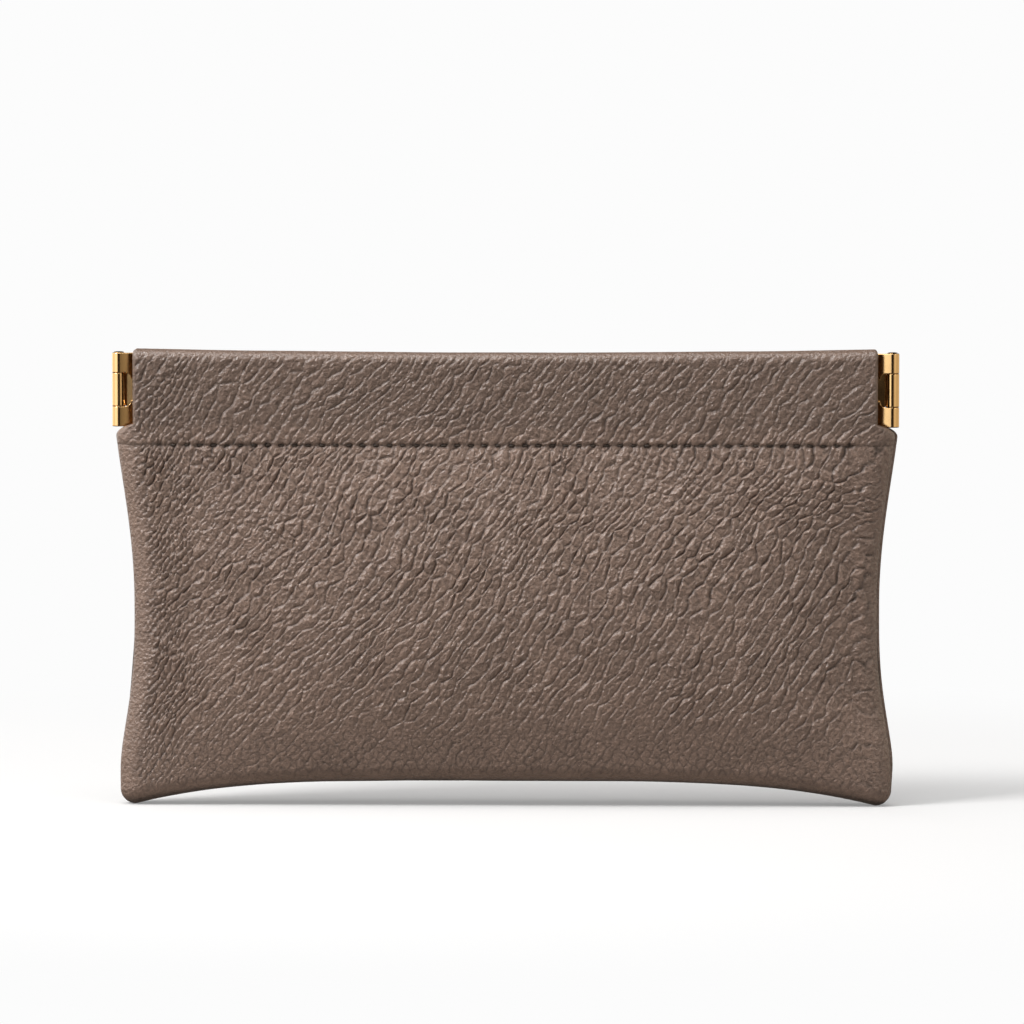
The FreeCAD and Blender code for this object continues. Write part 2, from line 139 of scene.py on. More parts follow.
class PouchShape(bpy.types.PropertyGroup):
    """Sizes of the sewn pouch"""

    waist_half: length_property("Waist", "Half width where the sides draw in most", 60.5 * MM)
    waist_height: length_property("Waist height", "Height of the narrowest place", 33 * MM)
    base_half: length_property("Base", "Half width just above the standing corners", 62.9 * MM)
    base_height: length_property("Base height", "Height of the widest place low down", 5.5 * MM)
    corner_radius: length_property("Corner", "Rounding of the standing corners", 2.5 * MM)
    bottom_rise: length_property("Bottom rise", "Height of the bottom edge in the middle", 3.9 * MM)
    casing_half: length_property("Casing", "Half length of the mouth casing", 60.5 * MM)
    shoulder_height: length_property("Shoulders", "Height where the casing leaves the pouch", 62.3 * MM)
    belly_height: length_property("Belly height", "Height of the fullest place", 27 * MM)
    casing_depth: length_property("Casing depth", "Half thickness of the casing", 3.0 * MM)
    rim_depth: length_property("Rim depth", "Half thickness along the turned seams", 2.9 * MM)
    edge_roll: length_property("Edge roll", "How far in the turned seams roll over", 4.0 * MM)
    rear_overhang: length_property(
        "Rear overhang", "How far the rear's right edge stands past the front", 0.4 * MM
    )
    leather: length_property("Leather", "Thickness of the leather", 1.1 * MM)


class LeatherFinish(bpy.types.PropertyGroup):
    """Grain and colour of the leather"""

    row_length: length_property("Row length", "Run of a grain row between cuts", 3.2 * MM)
    row_width: length_property("Row width", "Spacing of the grain rows", 1.95 * MM)
    pebble_length: length_property("Pebble length", "Pebble along the flow", 1.5 * MM)
    pebble_width: length_property("Pebble width", "Pebble across the flow", 1.1 * MM)
    relief: length_property("Relief", "Height of the grain", 0.28 * MM)
    flow_angle: angle_property("Flow", "Direction of the grain", 57)
    colour: colour_property("Colour", "Leather on the pebbles", "#826c5f")
    groove_shade_colour: colour_property("Grooves", "Leather in the grooves", "#463830")
    thread_colour: colour_property("Thread", "Sewing thread", "#43372f")
    lining_colour: colour_property("Lining", "Woven lining", "#5a4c43")


class HardwareFinish(bpy.types.PropertyGroup):
    """Metal of the spring frame"""

    edge_round: length_property("Edge round", "Rounding of the leaf edges", 0.12 * MM)
    window_round: length_property("Window round", "Rounding where a knuckle's tab leaves the leaf", 1.0 * MM)
    tab_slope: angle_property("Tab slope", "Lean of the tabs towards the barrels", -16)
    middle_knuckle: length_property("Middle knuckle", "Height of the rear leaf's knuckle", 5.4 * MM)
    leaf: length_property("Leaf", "Thickness of the hinge leaf", 0.45 * MM)
    plating_colour: colour_property("Plating", "Gold plating", "#e5bc84")
    steel_colour: colour_property("Steel", "Spring steel", "#a5a6a8")


class StageSettings(bpy.types.PropertyGroup):
    """Camera and what it looks at"""

    azimuth: angle_property("Azimuth", "Camera round to the right", 1.5)
    elevation: angle_property("Elevation", "Camera above the table", 4.5)
    distance: length_property("Distance", "Camera to the purse", 1.1)
    view_width: length_property("View width", "Width seen at the purse", 166.7 * MM)
    aim_x: length_property("Aim across", "Point aimed at", 1.12 * MM)
    aim_z: length_property("Aim height", "Point aimed at", 47.9 * MM)


# Mesh helpers
def smooth(t):
    """Smooth step of a share from 0 to 1."""
    t = np.clip(t, 0.0, 1.0)
    return t * t * (3 - 2 * t)


def soft_ramp(t, width):
    """Zero well below 0 and the value itself well above, turning over about the given width."""
    return width * np.logaddexp(0.0, t / width)


def new_piece(name, points, faces, material, normals=None, **attributes):
    """A mesh object at the origin from vertex rows and face index lists, smooth shaded."""
    mesh = bpy.data.meshes.new(name)
    mesh.from_pydata(points.reshape(-1, 3).tolist(), [], faces)
    mesh.polygons.foreach_set("use_smooth", np.ones(len(mesh.polygons), bool))
    for key, values in attributes.items():
        layer = mesh.attributes.new(key, "FLOAT", "POINT")
        layer.data.foreach_set("value", values.astype(np.float32).ravel())
    mesh.materials.append(material)
    mesh.update()
    if normals is not None:
        mesh.normals_split_custom_set_from_vertices(normals.reshape(-1, 3).tolist())
    piece = bpy.data.objects.new(name, mesh)
    bpy.context.scene.collection.objects.link(piece)
    return piece


def grid_faces(rows, columns, start=0, flip=False):
    """Quads of a grid of vertices numbered row by row."""
    corner = start + np.arange(rows - 1)[:, None] * columns + np.arange(columns - 1)[None, :]
    quads = np.stack([corner, corner + 1, corner + columns + 1, corner + columns], axis=-1).reshape(-1, 4)
    return quads[:, ::-1] if flip else quads


def grid_normals(points):
    """Unit normals of a grid surface from the cross product of its row and column differences."""
    along = np.gradient(points, axis=1)
    up = np.gradient(points, axis=0)
    normal = np.cross(along, up)
    return normal / np.maximum(np.linalg.norm(normal, axis=-1, keepdims=True), 1e-12)


def border(rows, columns):
    """Indices round the edge of a grid, in order, as one closed loop."""
    index = np.arange(rows * columns).reshape(rows, columns)
    return np.concatenate([index[0, :-1], index[:-1, -1], index[-1, :0:-1], index[:0:-1, 0]])


def stacked(*grids):
    """Points of several grids as one list."""
    return np.concatenate([grid.reshape(-1, 3) for grid in grids])


def shell_faces(rows, columns, step, flip):
    """Faces of a shell: a fine outer grid, an inner grid of every step-th point, and the wall between.

    Rows and columns are one more than a whole number of steps, so that the wall closes.
    """
    inner_rows, inner_columns = (rows - 1) // step + 1, (columns - 1) // step + 1
    start = rows * columns
    faces = grid_faces(rows, columns).tolist()
    faces += grid_faces(inner_rows, inner_columns, start, flip=True).tolist()
    fine = border(rows, columns)
    coarse = border(inner_rows, inner_columns) + start
    for number in range(len(coarse)):
        run = np.take(fine, range(number * step, number * step + step + 1), mode="wrap")
        back = [coarse[(number + 1) % len(coarse)], coarse[number]]
        faces.append([int(i) for i in run[::-1]] + [int(i) for i in back[::-1]])
    return [corners[::-1] for corners in faces] if flip else faces


# The sewn leather sides
INNER_STEP = 4
PITCH = 0.152 * MM
ALLOWANCE = 3.0 * MM
EAR_DROP = 2.2 * MM
CASING_WALL = 0.85 * MM
TURN_IN_THICKNESS = 0.5 * MM
CROWN_POWER = 3.6
CASING_ROLL = 0.55 * MM
TOP_SAG = 0.6 * MM
FLAP = 4.3 * MM
FOOT_CLOSED, FOOT_OPEN = 4 * MM, 7 * MM
ALLOWANCE_ROWS = INNER_STEP
ROLL_ROWS = 4 * INNER_STEP
EAR_ROWS = 4 * INNER_STEP
FOLD_ROWS = 5 * INNER_STEP
TURN_IN_ROWS = 3 * INNER_STEP


def spaced(start, end):
    """Even steps of about PITCH from start, left out, to end, in a whole number of inner steps."""
    count = INNER_STEP * max(1, round(abs(end - start) / (PITCH * INNER_STEP)))
    return np.linspace(start, end, count + 1)[1:]


def pouch_half_width(shape, h):
    """Half width at a height: drawn in at the waist, wider at shoulders and base, rounded at the corners."""
    rise = np.clip((h - shape.waist_height) / (shape.shoulder_height - shape.waist_height), 0, 1)
    fall = np.clip((shape.waist_height - h) / (shape.waist_height - shape.base_height), 0, 1)
    width = shape.waist_half + (SHOULDER - shape.waist_half) * rise**2 * (1.5 - 0.5 * rise**2)
    width += (shape.base_half - shape.waist_half) * smooth(fall**1.6)
    corner = np.clip(1 - h / shape.corner_radius, 0, 1)
    return width - shape.corner_radius * (1 - np.sqrt(1 - corner**2))


def pouch_depth(shape, h):
    """Half thickness in the middle: fullest at the belly, drawn in at the casing seam and the bottom."""
    neck = shape.casing_depth - 0.2 * MM
    above = np.clip((h - shape.belly_height) / (SEAM_Z - shape.belly_height), 0, 1)
    below = np.clip((shape.belly_height - h) / shape.belly_height, 0, 1)
    toe = shape.rim_depth + 0.9 * MM
    return BELLY - (BELLY - neck) * above**1.8 - (BELLY - toe) * below**2.2


def side_rows(shape):
    """One side's rows from the bottom seam allowance to the end of the turn-in, as a dict of arrays.

    Each row has a face point and a base point in depth and height, a half width, the roll at its ends and
    how much of the crown, of the bottom edge's curve and of the fold's sag it takes. The gap between the two
    sides closes at the foot, and the wall thins from the ears up to the fold and on to the flap turned in.
    """
    allowance = np.linspace(ALLOWANCE, 0, ALLOWANCE_ROWS, endpoint=False)
    quarter = np.linspace(0, math.pi / 2, ROLL_ROWS + 1)
    bottom = shape.edge_roll * 0.75 * (1 - np.cos(quarter))
    body = spaced(bottom[-1], SEAM_Z)
    ear_foot = shape.shoulder_height - EAR_DROP
    neck = spaced(SEAM_Z, ear_foot)
    ear_step = np.linspace(0, 1, EAR_ROWS + 1)[1:]
    ear = ear_foot + EAR_DROP * ear_step
    fold_half = (shape.casing_depth - HALF_GAP) / 2
    fold_foot = FOLD_TOP - TOP_SAG / 2 - fold_half
    casing = spaced(ear[-1], fold_foot)
    fold_turn = np.linspace(0, math.pi, FOLD_ROWS + 1)[1:]
    turn_in = np.linspace(fold_foot, shape.shoulder_height - FLAP, TURN_IN_ROWS + 1)[1:]

    pouch_h = np.concatenate([allowance, bottom, body, neck, ear])
    raised = len(body) + len(neck) + len(ear)
    lift = np.concatenate([np.zeros(ALLOWANCE_ROWS), np.sin(quarter), np.ones(raised)])
    rim = np.minimum(shape.rim_depth, pouch_depth(shape, pouch_h))
    to_casing = smooth((pouch_h - SEAM_Z + 1 * MM) / (1.4 * MM))
    gap = HALF_GAP * (0.1 + 0.9 * smooth((pouch_h - FOOT_CLOSED) / (FOOT_OPEN - FOOT_CLOSED)))
    pouch_face = gap + (rim - gap) * lift
    pouch_face = pouch_face + (shape.casing_depth - pouch_face) * to_casing
    crown = (pouch_depth(shape, pouch_h) - rim) * lift * (1 - to_casing)
    ear_share = np.zeros(len(pouch_h))
    ear_share[-len(ear):] = ear_step**2.2
    width = pouch_half_width(shape, pouch_h)
    width = shape.casing_half + (width - shape.casing_half) * (1 - ear_share)

    middle = (shape.casing_depth + HALF_GAP) / 2
    upper_depth = np.concatenate([
        np.full(len(casing), shape.casing_depth),
        middle + fold_half * np.cos(fold_turn),
        np.full(TURN_IN_ROWS, HALF_GAP),
    ])
    upper_height = np.concatenate([casing, fold_foot + fold_half * np.sin(fold_turn), turn_in])
    out_depth = np.concatenate([np.ones(len(casing)), np.cos(fold_turn), -np.ones(TURN_IN_ROWS)])
    out_height = np.concatenate([np.zeros(len(casing)), np.sin(fold_turn), np.zeros(TURN_IN_ROWS)])
    wall = np.concatenate([
        np.interp(casing, [casing[0], casing[0] + 2 * MM], [shape.leather, CASING_WALL]),
        np.linspace(CASING_WALL, TURN_IN_THICKNESS, FOLD_ROWS),
        np.full(TURN_IN_ROWS, TURN_IN_THICKNESS),
    ])
    base = gap + (shape.casing_depth - shape.leather - HALF_GAP) * np.minimum(1, 1.6 * ear_share)
    lower, upper = np.ones(len(pouch_h)), np.ones(len(upper_depth))
    roll = shape.edge_roll + (CASING_ROLL - shape.edge_roll) * ear_share
    parts = {
        "face_depth": (pouch_face, upper_depth),
        "face_height": (pouch_h, upper_height),
        "base_depth": (base, upper_depth - wall * out_depth),
        "base_height": (pouch_h, upper_height - wall * out_height),
        "half_width": (width, shape.casing_half * upper),
        "roll": (roll, CASING_ROLL * upper),
        "crown": (crown, 0 * upper),
        "bottom_share": (np.clip(1 - pouch_h / SEAM_Z, 0, 1), 0 * upper),
        "wall": (shape.leather * lower, wall),
        "casing": (ear_share, upper),
    }
    rows = {key: np.concatenate(pair) for key, pair in parts.items()}
    rows["top_share"] = np.clip((rows["face_height"] - SEAM_Z) / (FOLD_TOP - SEAM_Z), 0, 1)
    rows["seam_row"] = len(allowance) + len(bottom) + len(body) - 1
    return rows


def side_columns(shape):
    """Columns from one side allowance to the other, as arrays.

    They are the side of the middle, the share of the face, the roll angle and how far the allowance goes in.
    """
    face = np.concatenate([[0.0], spaced(0, shape.casing_half) / shape.casing_half])
    roll = np.linspace(math.pi / 2, 0, ROLL_ROWS + 1)[1:]
    back = np.linspace(0, 1, ALLOWANCE_ROWS + 1)[1:]
    share = np.concatenate([face, np.ones(ROLL_ROWS + ALLOWANCE_ROWS)])
    angle = np.concatenate([np.full(len(face), math.pi / 2), roll, np.zeros(ALLOWANCE_ROWS)])
    inward = np.concatenate([np.zeros(len(face) + ROLL_ROWS), back])
    sign = np.concatenate([-np.ones(len(share) - 1), np.ones(len(share))])
    return (sign, *(np.concatenate([values[:0:-1], values]) for values in (share, angle, inward)))


def side_surface(shape, rows, columns, face):
    """The smooth outer surface of one side as (x, depth, height), and its flat pattern as (across, up).

    Across a row the face runs flat with a crown, rolls over a quarter turn at each edge and goes back inside
    as the seam allowance. The bottom edge's curve and the fold's sag are added to the height, and the rear
    stands out past the front along its right edge.
    """
    sign, share, angle, inward = columns
    row = {key: values[:, None] for key, values in rows.items() if key != "seam_row"}
    flat = (row["half_width"] - row["roll"]) * share
    x = flat + row["roll"] * np.cos(angle) - ALLOWANCE * inward
    rim = smooth((share - 0.9) / 0.1) * (sign > 0) * (1 - row["casing"])
    rim = rim * smooth(row["face_height"] / (9 * MM))
    x = x + shape.rear_overhang * rim * (face == REAR)
    up = np.sin(angle)
    face = row["face_depth"] + row["crown"] * (1 - share**CROWN_POWER)
    depth = row["base_depth"] + (face - row["base_depth"]) * up
    height = row["base_height"] + (row["face_height"] - row["base_height"]) * up
    tip = shape.base_half - shape.corner_radius
    height = height + row["bottom_share"] * shape.bottom_rise * np.clip(1 - (x / tip) ** 4, 0, 1)
    height = height + row["top_share"] * TOP_SAG * ((x / shape.casing_half) ** 2 - 0.5)
    across = sign * (flat + row["roll"] * (math.pi / 2 - angle) + ALLOWANCE * inward)
    spine = np.stack([rows["face_depth"] + rows["crown"], rows["face_height"]], axis=-1)
    climb = np.concatenate([[0.0], np.cumsum(np.linalg.norm(np.diff(spine, axis=0), axis=-1))])
    climb = climb - climb[rows["seam_row"]] + SEAM_Z
    pattern = np.stack(np.broadcast_arrays(across, climb[:, None]), axis=-1)
    return np.stack([sign * x, depth, height], axis=-1), pattern


def side_grid(shape, face):
    """Rows, columns, smooth surface and flat pattern of one side."""
    rows, columns = side_rows(shape), side_columns(shape)
    return rows, columns, *side_surface(shape, rows, columns, face)


# Leather grain, in millimetres on the flat pattern: across from the middle and up from the table
FLOW_RADIUS = 240.0
FLOW_HEIGHT = 35.0
SEAM_LINE = SEAM_Z / MM
ROW_JITTER = 0.28
RUN_JITTER = 0.85
ROW_STRETCH, ROW_LEAN = 0.6, 0.35
PEBBLE_STRETCH, PEBBLE_LEAN = 0.7, 0.4
PLATE_LENGTH, PLATE_WIDTH, PLATE_STRETCH, PLATE_LEAN = 1.7, 1.4, 0.85, 0.3
PLATES_END = 15.0
# Painted shade: how far the casing's tone is lowered to darken its colour
CASING_PAINTED_SHADE = 1.6
LEFT_X, LEFT_BLEND = -46, 9
RIGHT_X, RIGHT_BLEND = 53, 5
LOW_Z, LOW_BLEND = 46, 26
FOOT_Z, FOOT_BLEND = 12.5, 7
HIGH_Z, HIGH_BLEND = 42, 14
LEVEL_X, LEVEL_BLEND = 6, 8
TURN_X, TURN_BLEND = 56.5, 1.5
PULL_X, PULL_BLEND = -53, 2
CASING_ANGLE = math.radians(48)


def cell_hash(i, j, seed):
    """Repeatable random numbers from 0 to 1 for whole-number cells."""
    mixed = np.sin(i * 127.1 + j * 311.7 + seed * 74.7) * 43758.5453
    return mixed - np.floor(mixed)


def dome(t):
    """Rises steeply from 0 and levels off at 1."""
    return 1 - (1 - np.clip(t, 0, 1)) ** 2


def value_noise(x, y, seed):
    """Smooth noise from -1 to 1 with one bump per unit."""
    i, j = np.floor(x), np.floor(y)
    u, v = smooth(x - i), smooth(y - j)
    low = cell_hash(i, j, seed) * (1 - u) + cell_hash(i + 1, j, seed) * u
    high = cell_hash(i, j + 1, seed) * (1 - u) + cell_hash(i + 1, j + 1, seed) * u
    return 2 * (low * (1 - v) + high * v) - 1


def scale_cells(p, q, length, width, stretch, lean, seed):
    """Distance to the nearest cell border, how far that cuts across a row, place across the cell and tone.

    Seeds sit in leaning rows along p, scattered a little across and more along. A point belongs to the seed
    with the least (stretch * along)^2 + across^2, and the distance to the border with the next seed is half
    the difference of the two divided by the length of its gradient.
    """
    near = [np.full(p.shape, 1e9), p * 0, p * 0]
    far = [np.full(p.shape, 1e9), p * 0, p * 0]
    tone = p * 0
    first_row = np.floor(q / width)
    for j in (first_row - 1, first_row, first_row + 1):
        place = (p + lean * q) / length + 7 * cell_hash(j, 3, seed)
        first_column = np.floor(place)
        for i in (first_column - 1, first_column, first_column + 1):
            across = (j + 0.5 + ROW_JITTER * (cell_hash(i, j, seed + 1) - 0.5)) * width - q
            along = (i + 0.5 + RUN_JITTER * (cell_hash(i, j, seed + 2) - 0.5) - place) * length
            seen = [(stretch * along) ** 2 + across**2, along, across]
            nearest = seen[0] < near[0]
            second = ~nearest & (seen[0] < far[0])
            far = [np.where(nearest, n, np.where(second, s, f)) for n, s, f in zip(near, seen, far)]
            near = [np.where(nearest, s, n) for n, s in zip(near, seen)]
            tone = np.where(nearest, cell_hash(i, j, seed + 5), tone)
    slope_along = stretch**2 * (far[1] - near[1])
    slope_across = far[2] - near[2]
    slope = np.hypot(slope_along, slope_across + lean * slope_along) + 1e-9
    cross = np.abs(slope_along) / (np.abs(slope_along) + np.abs(slope_across) + 1e-9)
    return (far[0] - near[0]) / (2 * slope), cross, near[2] / width, tone


def flow(finish, x, z, seed):
    """Places along and across the grain: arcs about a point up on the left, straight lines on the casing.

    Noise in bumps from 21 down to 1 mm waves them. High up on the right the arcs lie flatter, by the right
    edge they turn over and run down to the side seam, and by the left edge they are drawn out.
    """
    middle_x = -FLOW_RADIUS * math.sin(finish.flow_angle)
    middle_z = FLOW_HEIGHT + FLOW_RADIUS * math.cos(finish.flow_angle)
    shift_x, shift_z = (
        1.6 * value_noise(x / 21 + k, z / 18, seed + k)
        + 0.6 * value_noise(x / 6, z / 6 + k, seed + k + 11)
        + 0.24 * value_noise(x / 2.2, z / 2.2 + k, seed + k + 13)
        + 0.1 * value_noise(x / 0.95, z / 0.95 + k, seed + k + 17)
        for k in (0, 23)
    )
    high = smooth((z - HIGH_Z) / HIGH_BLEND)
    turn = 1.9 * soft_ramp(x - TURN_X, TURN_BLEND) + 0.25 * high * soft_ramp(x - LEVEL_X, LEVEL_BLEND)
    bent_x = x + shift_x - 0.5 * soft_ramp(PULL_X - x, PULL_BLEND)
    bent_z = z + shift_z + turn
    p = FLOW_RADIUS * np.arctan2(bent_z - middle_z, bent_x - middle_x)
    q = np.hypot(bent_x - middle_x, bent_z - middle_z) - FLOW_RADIUS
    along = math.cos(CASING_ANGLE) * (x + shift_x) + math.sin(CASING_ANGLE) * (z + shift_z)
    across = math.sin(CASING_ANGLE) * (x + shift_x) - math.cos(CASING_ANGLE) * (z + shift_z)
    on_casing = z > SEAM_LINE
    return np.where(on_casing, along, p), np.where(on_casing, across, q)


def groove_line(edge, width):
    """A line that is 1 where the distance is 0 and falls off as a bell over the given width."""
    return np.exp(-((edge / width) ** 2))


def grain(finish, x, z, seed):
    """Height of the grain as a share of the relief, share of painted groove shade, and tone of each row's
    cell.

    Leaning rows lie over each other like shingles, rounded, each with a groove along its edges and weaker
    cuts across. Small pebbles lie over them, stronger in patches and by the left edge, where rows give way.
    Rows are weaker on the casing and low down. Flat plates take over at the foot, and a mottle covers all.
    """
    p, q = flow(finish, x, z, seed)
    casing = smooth(z - SEAM_LINE)
    left = smooth((LEFT_X - x) / LEFT_BLEND)
    low = smooth((LOW_Z - z) / LOW_BLEND) * (1 - left)
    right = smooth((x - RIGHT_X) / RIGHT_BLEND) * (1 - casing)
    foot = smooth((FOOT_Z - z) / FOOT_BLEND)
    patch = value_noise(x / 4.3 + 3, z / 4.3, seed + 65)
    patch = smooth((patch - 0.35 + 0.9 * left - 0.9 * low - 0.4 * casing - right) / 0.5)
    row_share = np.clip(0.95 - 0.3 * patch - 0.28 * low - 0.38 * casing - 0.4 * foot, 0.1, 1)
    row_share = row_share * (0.9 + 0.25 * value_noise(x / 8, z / 7 + 5, seed + 71))
    length, width = finish.row_length / MM, finish.row_width / MM
    edge, cross, lean, tone = scale_cells(p, q, length, width, ROW_STRETCH, ROW_LEAN, seed)
    across = np.clip(0.58 + 0.05 * low + 0.3 * right, 0, 0.9)
    cut = 1 - across * smooth((cross - 0.25) / 0.3)
    cut = cut * (0.85 + 0.3 * value_noise(x / 3.1, z / 3.1, seed + 61))
    lapped = lean * (1 - cut * (1 - smooth(edge / 0.2 + 0.08)))
    rows = (0.9 * lapped + 1.6 * cut * dome(edge) - 0.65 * groove_line(edge, 0.22) * cut) * row_share
    # Painted shade: these groove shares darken the colour along the grooves
    row_groove_shade = (1.0 + 0.3 * right) * groove_line(edge, 0.17) * cut * row_share

    pebble_share = 0.3 + 0.55 * patch
    length, width = finish.pebble_length / MM, finish.pebble_width / MM
    edge, _, lean, _ = scale_cells(p, q, length, width, PEBBLE_STRETCH, PEBBLE_LEAN, seed + 91)
    pebbles = 0.9 * lean * smooth(edge / 0.2 + 0.08) + 0.6 * dome(edge / 0.5) - 0.45 * groove_line(edge, 0.2)
    pebble_groove_shade = 0.4 * groove_line(edge, 0.14) * pebble_share

    plates, plate_groove_shade = p * 0, p * 0
    near_foot = np.min(z, axis=1) < PLATES_END
    near_p, near_q = p[near_foot], q[near_foot]
    edge, _, _, _ = scale_cells(
        near_p, near_q, PLATE_LENGTH, PLATE_WIDTH, PLATE_STRETCH, PLATE_LEAN, seed + 37
    )
    plates[near_foot] = 0.2 * dome(edge / 0.5) - 0.25 * groove_line(edge, 0.15)
    plate_groove_shade[near_foot] = 0.5 * groove_line(edge, 0.13)
    mottle = 0.1 * value_noise(x / 0.55, z / 0.55, seed + 81)
    hill = rows + pebbles * pebble_share + plates * foot + mottle
    return hill, np.clip(row_groove_shade + pebble_groove_shade + plate_groove_shade * foot, 0, 1), tone


def leather_relief(shape, finish, rows, columns, surface, pattern, seed):
    """Relief over the smooth surface in metres, level (0 in a groove, 1 on a pebble) and tone.

    The grain fades at the edges, the fold, the bottom and the turned-in flap. The casing seam draws a
    shallow furrow with a crease and a hole at each stitch. The level carries painted shade: it is low in the
    grooves, the furrow, the crease, the stitch holes and along the bottom rim, darkening the colour there.
    The tone carries painted shade that darkens the casing.
    """
    x, height = surface[..., 0], surface[..., 2]
    hill, groove_shade, tone = grain(finish, pattern[..., 0] / MM, pattern[..., 1] / MM, seed)
    on_face = np.sin(columns[2])[None, :]
    inside = rows["half_width"][:, None] - np.abs(x)
    wander = 1 + 0.35 * value_noise(height / (2.6 * MM), x / (9 * MM), seed + 57)
    reach = np.where(x < 0, LEFT_FADE, RIGHT_FADE) * wander
    edge = 0.12 + 0.88 * smooth((inside - 0.4 * reach) / reach)
    edge = np.where(rows["casing"][:, None] > 0.5, smooth(inside / CASING_FADE), edge) * on_face
    top = 1 - 0.9 * smooth((height - FOLD_TOP + FOLD_CLEAR) / FOLD_FADE)
    above = height - shape.bottom_rise * np.clip(1 - (x / shape.base_half) ** 4, 0, 1)
    lines = edge * top * smooth((above - RIM_CLEAR) / RIM_FADE)
    strength = lines * (0.3 + 0.7 * smooth((above - FLAT_FOOT) / FLAT_FADE))
    seam = groove_line(height - SEAM_Z, FURROW_HALF) * on_face
    crease = groove_line(height - SEAM_Z, CREASE_HALF)
    number = x / STITCH_PITCH - 0.5
    beside = (number - np.round(number)) * STITCH_PITCH
    pull = 0.75 + 0.5 * cell_hash(np.round(number), 5, seed)
    hole = np.exp(-((beside / HOLE_HALF) ** 4) - ((height - SEAM_Z) / HOLE_HEIGHT) ** 2) * pull
    turned_in = smooth((rows["wall"][:, None] - TURN_IN_THICKNESS) / (0.4 * MM))
    hole = hole * (np.abs(x) < SEAM_HALF) * turned_in
    slow = value_noise(pattern[..., 0] / (11 * MM), pattern[..., 1] / (9 * MM), seed + 51)
    relief = finish.relief * hill * strength * (1 - 0.5 * seam) * turned_in
    relief = relief + on_face * (HIDE_WAVE * slow - HOLE_DEPTH * hole)
    relief = relief - FURROW_DEPTH * seam - CREASE_DEPTH * crease
    # Painted shade: a dark line along the bottom rim
    rim = 0.8 * groove_line(above, BOTTOM_RIM_SHADE_HALF)
    # Painted shade: the level falls in the grooves, the furrow, the crease and the stitch holes, darkening
    # the colour there
    level = 1 - np.clip(groove_shade * lines + 0.1 * seam + 0.2 * crease + 0.6 * hole * on_face + rim, 0, 1)
    return relief, level, tone - CASING_PAINTED_SHADE * rows["casing"][:, None]


def make_leather(shape, finish, face, material):
    """One side in six shells: toe, panel and casing, each in two halves split at the middle."""
    rows, columns, surface, pattern = side_grid(shape, face)
    side = FACES[face]
    relief, level, tone = leather_relief(shape, finish, rows, columns, surface, pattern, SEEDS[face])
    smooth_skin = surface * np.array([1.0, side, 1.0])
    outward = grid_normals(smooth_skin) * -side
    skin = smooth_skin + outward * relief[..., None]
    facing = grid_normals(skin) * -side
    wall = rows["wall"][:, None] * (0.15 + 0.85 * np.sin(columns[2]))
    back = smooth_skin - outward * wall[..., None]
    middle, seam = skin.shape[1] // 2, rows["seam_row"]
    waist = seam // 2 // INNER_STEP * INNER_STEP
    parts = {"toe": slice(0, waist + 1), "panel": slice(waist, seam + 1), "casing": slice(seam, None)}
    for end, across in (("left", slice(0, middle + 1)), ("right", slice(middle, None))):
        for part, up in parts.items():
            outer, inner = skin[up, across], back[up, across][::INNER_STEP, ::INNER_STEP]
            inner_facing = -outward[up, across][::INNER_STEP, ::INNER_STEP]
            faces = shell_faces(outer.shape[0], outer.shape[1], INNER_STEP, side > 0)
            plain = np.ones(inner.shape[0] * inner.shape[1])
            piece = new_piece(
                f"{face}_{part}_{end}",
                stacked(outer, inner),
                faces,
                material,
                stacked(facing[up, across], inner_facing),
                level=np.concatenate([level[up, across].ravel(), plain]),
                tone=np.concatenate([tone[up, across].ravel(), plain * 0.5]),
            )
            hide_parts(f"{face}_leather")
            bend_with_mouth(piece)


def bend_with_mouth(piece):
    """Bakes the piece's transform into its mesh."""
    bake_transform(piece)


# Stitches and lining
def make_stitches(shape, face, end, material):
    """Half of a casing seam: short twisted stitches that dip into the leather at both ends.

    Each is a tube along x whose centre falls by the fourth power of the distance from its middle and whose
    radius closes to nothing at the ends.
    """
    rows, columns, surface, _ = side_grid(shape, face)
    line = surface[rows["seam_row"]]
    flat = columns[2] == math.pi / 2
    count = int(SEAM_HALF / STITCH_PITCH)
    centre = ENDS[end] * (np.arange(count) + 0.5) * STITCH_PITCH
    depth = np.interp(centre, line[flat, 0], line[flat, 1])
    height = np.interp(centre, line[flat, 0], line[flat, 2])
    t = np.linspace(-1, 1, STITCH_RINGS)[None, :, None]
    turn = np.linspace(0, 2 * math.pi, STITCH_SIDES, endpoint=False)[None, None, :]
    radius = THREAD_RADIUS * np.sqrt(np.clip(1 - t**6, 0.002, 1)) * (1 + 0.12 * np.cos(2 * turn + 5 * t))
    x = centre[:, None, None] + t * STITCH_LENGTH / 2 + 0 * turn
    out = depth[:, None, None] - STITCH_SUNK - STITCH_DIP * t**4 + radius * np.cos(turn)
    z = height[:, None, None] + 0.1 * MM * t + radius * np.sin(turn)
    points = np.stack([x, FACES[face] * out, z], axis=-1)
    faces = []
    for number in range(count):
        ring = np.arange(STITCH_RINGS * STITCH_SIDES).reshape(STITCH_RINGS, STITCH_SIDES)
        ring = ring + number * ring.size
        after = np.roll(ring, -1, axis=1)
        quads = np.stack([ring[:-1], after[:-1], after[1:], ring[1:]], axis=-1).reshape(-1, 4)
        faces += quads.tolist() + [ring[0, ::-1].tolist(), ring[-1].tolist()]
    if FACES[face] < 0:
        faces = [corners[::-1] for corners in faces]
    piece = new_piece(f"{face}_casing_stitches_{end}", points, faces, material)
    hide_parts(f"{face}_casing_thread")
    bend_with_mouth(piece)


